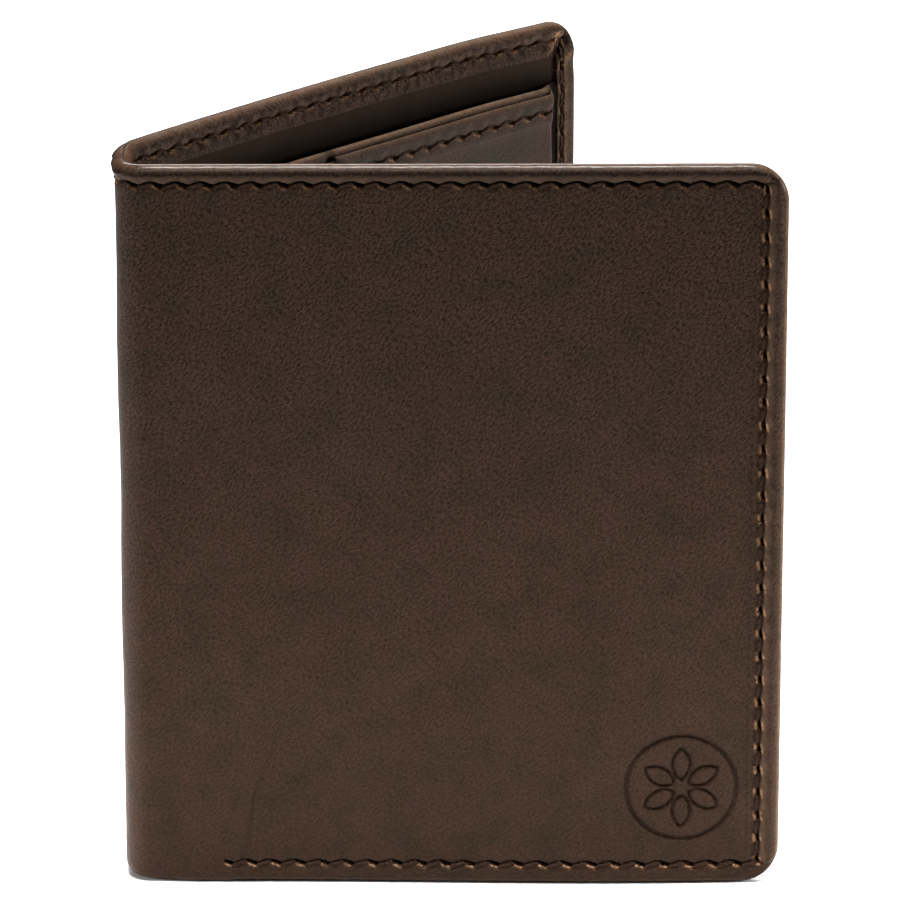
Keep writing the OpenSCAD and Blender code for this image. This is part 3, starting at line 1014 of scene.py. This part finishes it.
def leather(name, dark, light, worn_and_sheen, rough, stretch=0.52, grain=1.0):
    """Dressed leather: mottled colour, stretched grain, paler scuffed edges, a painted sheen strip,
    painted shade and torn fibres.
    """
    n = Nodes(name)
    flat = n.flat()
    turned = n.mapped(flat, "Rotation", (0, 0, 0.75))
    skewed = n.mapped(turned, "Scale", (stretch, 1.0, 1.0))
    cloud = n.noise(flat, 9.0, 5.0, 0.6)
    patches = n.noise(flat, 31.0)
    pores = n.noise(skewed, 950.0, 2.0, 0.6)
    folds = n.noise(skewed, 340.0, 2.0, 0.6)
    creased = n.noise(skewed, 14.0, 4.0, 0.6)
    colour = n.mix(n.ramp(cloud, 0.32, 0.68, 0.2, 0.8), dark, light)
    tint = tuple(c * k for c, k in zip(light, (1.06, 0.93, 1.12))) + (1,)
    colour = n.mix(n.times(n.ramp(patches, 0.45, 0.75), 0.6), colour, tint)
    cool = tuple(c * k for c, k in zip(dark, (0.80, 1.08, 1.02))) + (1,)
    drift = n.noise(turned, 17.0, 4.0)
    colour = n.mix(n.times(n.ramp(drift, 0.48, 0.70), 0.85), colour, cool)
    depth = n.math("ADD", n.times(folds, 0.6), n.times(pores, 0.4))
    # Grain grows stronger towards the top, in bump and in colour; its darker colour there is grain
    # and also painted shade of light raking from above
    height = n.add("ShaderNodeSeparateXYZ", {"Vector": flat}).outputs["Y"]
    grain_and_shade_contrast = n.times(n.ramp(height, 0.10, 0.95, 0.40, 1.0), grain)
    depth = n.times(n.ramp(depth, 0.40, 0.60, -0.8, 0.8), grain_and_shade_contrast)
    depth = n.math("ADD", depth, 1.0)
    channels = {"Red": depth, "Green": depth, "Blue": depth}
    grey = n.add("ShaderNodeCombineColor", channels).outputs["Color"]
    shaded = n.mix(1.0, colour, grey, "MULTIPLY")
    broken = n.ramp(n.noise(flat, 75.0, 4.0), 0.30, 0.62, 0.35, 1.0)
    # Paler colour on scuffed edges and on the painted sheen strips
    colour = n.mix(n.times(n.mask("wear_and_sheen"), broken), shaded, worn_and_sheen)
    # Painted shade: the shade mask darkens the colour almost to black
    painted_shade_colour = tuple(c * 0.15 for c in dark[:3]) + (1,)
    colour = n.mix(n.times(n.mask("shade"), 0.95), colour, painted_shade_colour)
    torn = n.times(n.mask("raw"), n.ramp(n.noise(flat, 190.0), 0.40, 0.52, 0.0, 0.95))
    colour = n.mix(torn, colour, TORN)
    dull = n.ramp(cloud, 0.3, 0.7, rough - 0.04, rough + 0.05)
    dull = n.math("SUBTRACT", dull, n.times(n.mask("gloss"), 0.21))
    dull = n.math("ADD", dull, n.times(n.mask("shade"), 0.5))
    plain = n.times(n.math("SUBTRACT", 1.0, n.mask("gloss")), grain_and_shade_contrast)
    normal = n.bump(creased, 0.5 * grain, 0.0006)
    normal = n.bump(folds, plain, 0.00024, normal)
    normal = n.bump(pores, plain, 0.00012, normal)
    return n.finished(colour, dull, normal, 0.06)


def cloth(name, colour, pale, scale, rough):
    """Plain woven cloth: two crossed waves, with a little uneven colour and painted shade from the
    shade mask.
    """
    n = Nodes(name)
    flat = n.flat()
    weave = []
    values = {"Vector": flat, "Scale": scale, "Distortion": 0.6}
    for axis in ("X", "Y"):
        wave = n.add("ShaderNodeTexWave", values, bands_direction=axis)
        weave.append(wave.outputs["Fac"])
    crossed = n.times(weave[0], weave[1])
    patch = n.ramp(n.noise(flat, 18.0), 0.3, 0.7)
    base = n.mix(n.times(crossed, patch), colour, pale)
    # Painted shade: the shade mask darkens the cloth
    painted_shade_colour = tuple(c * 0.2 for c in colour[:3]) + (1,)
    base = n.mix(n.mask("shade"), base, painted_shade_colour)
    normal = n.bump(crossed, 0.5, 0.0002)
    return n.finished(base, rough, normal, 0.05)


def thread(name):
    """Waxed dark brown thread with fine fibres."""
    n = Nodes(name)
    where = n.add("ShaderNodeTexCoord").outputs["Object"]
    fibre = n.noise(where, 4200.0)
    base = n.mix(n.ramp(fibre, 0.35, 0.75), (0.022, 0.011, 0.006, 1), (0.060, 0.030, 0.016, 1))
    normal = n.bump(fibre, 0.6, 0.00008)
    return n.finished(base, 0.6, normal, 0.08)


BROWN = ((0.0350, 0.0182, 0.0100, 1), (0.049, 0.0270, 0.0160, 1))
PANEL_BROWN = ((0.0270, 0.0148, 0.0088, 1), (0.038, 0.0218, 0.0134, 1))
COVER = leather("cover_leather", *BROWN, (0.092, 0.055, 0.035, 1), 0.36)
PANEL = leather("panel_leather", *PANEL_BROWN, (0.12, 0.074, 0.046, 1), 0.42, 0.7, 0.6)
LINING = cloth("lining_cloth", (0.026, 0.016, 0.010, 1), (0.046, 0.030, 0.020, 1), 320.0, 0.8)
POCKET = cloth("pocket_cloth", (0.016, 0.011, 0.008, 1), (0.034, 0.024, 0.018, 1), 420.0, 0.85)
THREAD = thread("waxed_thread")


def dress(obj, material):
    """Gives a piece its material."""
    obj.data.materials.append(material)
    return obj


# ---- building the wallet

def bend(obj, front):
    """Bakes a piece's placement into its mesh; the stretch across the crease that it works out is
    not used.
    """
    crease = FRONT_CREASE if front else BACK_CREASE
    heading = math.radians(135) if front else math.pi / 2 - BACK_TURN / 2
    reach = 1.65 if front else 4.4
    step = np.array([math.cos(heading), math.sin(heading), 0]) * reach
    start, end = tuple((crease - step) * MM), tuple((crease + step) * MM)
    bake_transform(obj)
    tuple(start)
    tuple(end)


def build_half(front):
    """Makes every piece of one half, with what carries it and what it replaces."""
    side = SIDE[front]
    body = side + "_half"
    cover = dress(cover_half(front), COVER)
    bend(cover, front)
    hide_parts(side + "_cover", side + "_backing", "spine_cover")
    lining = dress(lining_half(front), LINING)
    bend(lining, front)
    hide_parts(side + "_lining", "spine_lining")
    tops = {layer: PANEL_TOP - TOP_DROP[layer] for layer in LAYERS}
    divider = slot_piece(side + "_note_divider", "divider", front, PANEL_START, PANEL_TOP)
    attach(dress(divider, PANEL), body)
    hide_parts(side + "_divider")
    for row, start in zip(LAYERS[1:], SLOT_STARTS):
        slot = slot_piece(f"{side}_card_slot_{row}", row, front, start, tops[row])
        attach(dress(slot, PANEL), body)
        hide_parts(f"{side}_slot_{row}")
        cloth_top = tops[row] - CLOTH_DROP
        name = f"{side}_pocket_cloth_{row}"
        pocket = pocket_piece(name, row, front, start + CLOTH_START, cloth_top)
        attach(dress(pocket, POCKET), body)
        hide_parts(f"{side}_pocket_{row}")
    rows = edge_stitches(front)
    for row, obj in rows.items():
        dress(obj, THREAD)
        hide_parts(f"{side}_{row}_thread")
        if row == "top":
            bend(obj, front)
            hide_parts("spine_thread")
        else:
            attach(obj, body)
    panel = dress(panel_stitches(front, tops), THREAD)
    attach(panel, body)
    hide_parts(side + "_panel_thread")


build_half(True)
build_half(False)

# ---- stage, light and camera

def floor():
    """A pale floor. Away from the wallet the camera sees it white, which lights nothing else."""
    corners = 3.0 * np.array([[-1, -1, 0], [1, -1, 0], [1, 1, 0], [-1, 1, 0]])
    obj = make_mesh("floor", corners, [[0, 1, 2, 3]])
    n = Nodes("pale_floor")
    n.surface({"Base Color": (0.93, 0.93, 0.93, 1), "Roughness": 0.9, "Specular IOR Level": 0.1})
    place = n.add("ShaderNodeTexCoord").outputs["Object"]
    away = n.add("ShaderNodeVectorMath", {0: place}, operation="LENGTH").outputs["Value"]
    seen = n.add("ShaderNodeLightPath").outputs["Is Camera Ray"]
    glow = n.times(seen, n.ramp(away, 0.13, 0.24))
    n.surface({"Emission Color": (1, 1, 1, 1), "Emission Strength": glow})
    obj.data.materials.append(n.material)


def aimed(name, data, place, aim):
    """A light or a camera at a place, turned to its aim."""
    obj = bpy.data.objects.new(name, data)
    obj.location = place
    obj.rotation_euler = (Vector(aim) - Vector(place)).to_track_quat("-Z", "Y").to_euler()
    bpy.context.scene.collection.objects.link(obj)
    return obj


def area_light(name, place, aim, size, power, spread_deg):
    """A soft box of a width and height."""
    light = bpy.data.lights.new(name, "AREA")
    light.shape = "RECTANGLE"
    light.size, light.size_y = size
    light.energy = power
    light.spread = math.radians(spread_deg)
    aimed(name, light, place, aim)


def studio():
    """Five soft boxes in a nearly dark room."""
    world = bpy.data.worlds.new("studio")
    world.use_nodes = True
    background = world.node_tree.nodes["Background"]
    background.inputs["Color"].default_value = (1, 1, 1, 1)
    background.inputs["Strength"].default_value = 0.02
    bpy.context.scene.world = world
    bpy.context.scene.view_settings.view_transform = "Standard"
    area_light("behind", (0.0, 0.90, 0.65), (0, 0.22, 0), (1.1, 0.4), 3.0, 42)
    area_light("overhead", (0.0, 0.10, 0.80), (0, 0.02, 0), (0.3, 0.06), 0.27, 20)
    area_light("foreground", (0.0, -0.24, 0.75), (0, -0.102, 0), (0.4, 0.05), 0.365, 20)
    area_light("left_side", (-0.7, -0.02, 0.10), (0, 0, -0.03), (0.3, 0.15), 0.25, 34)
    area_light("right_side", (0.7, -0.02, 0.14), (0, 0, 0.0), (0.3, 0.2), 0.44, 40)


def camera():
    """A long lens, a little above the wallet and square to its front face."""
    distance, lift, yaw = 972.3, math.radians(20.14), math.radians(0.375)
    aim = np.array([-0.1, 33.5, 51.4])
    eye = aim + distance * np.array([0, -math.cos(lift), math.sin(lift)])

    def placed(p):
        x = p[0] * math.cos(yaw) + p[1] * math.sin(yaw)
        y = p[1] * math.cos(yaw) - p[0] * math.sin(yaw)
        return Vector((x, y + Y_FRONT, p[2])) * MM

    data = bpy.data.cameras.new("camera")
    data.sensor_width = 36
    data.lens = 276.9
    data.clip_start = 0.05
    data.clip_end = 50
    bpy.context.scene.camera = aimed("camera", data, placed(eye), placed(aim))


floor()
studio()
camera()
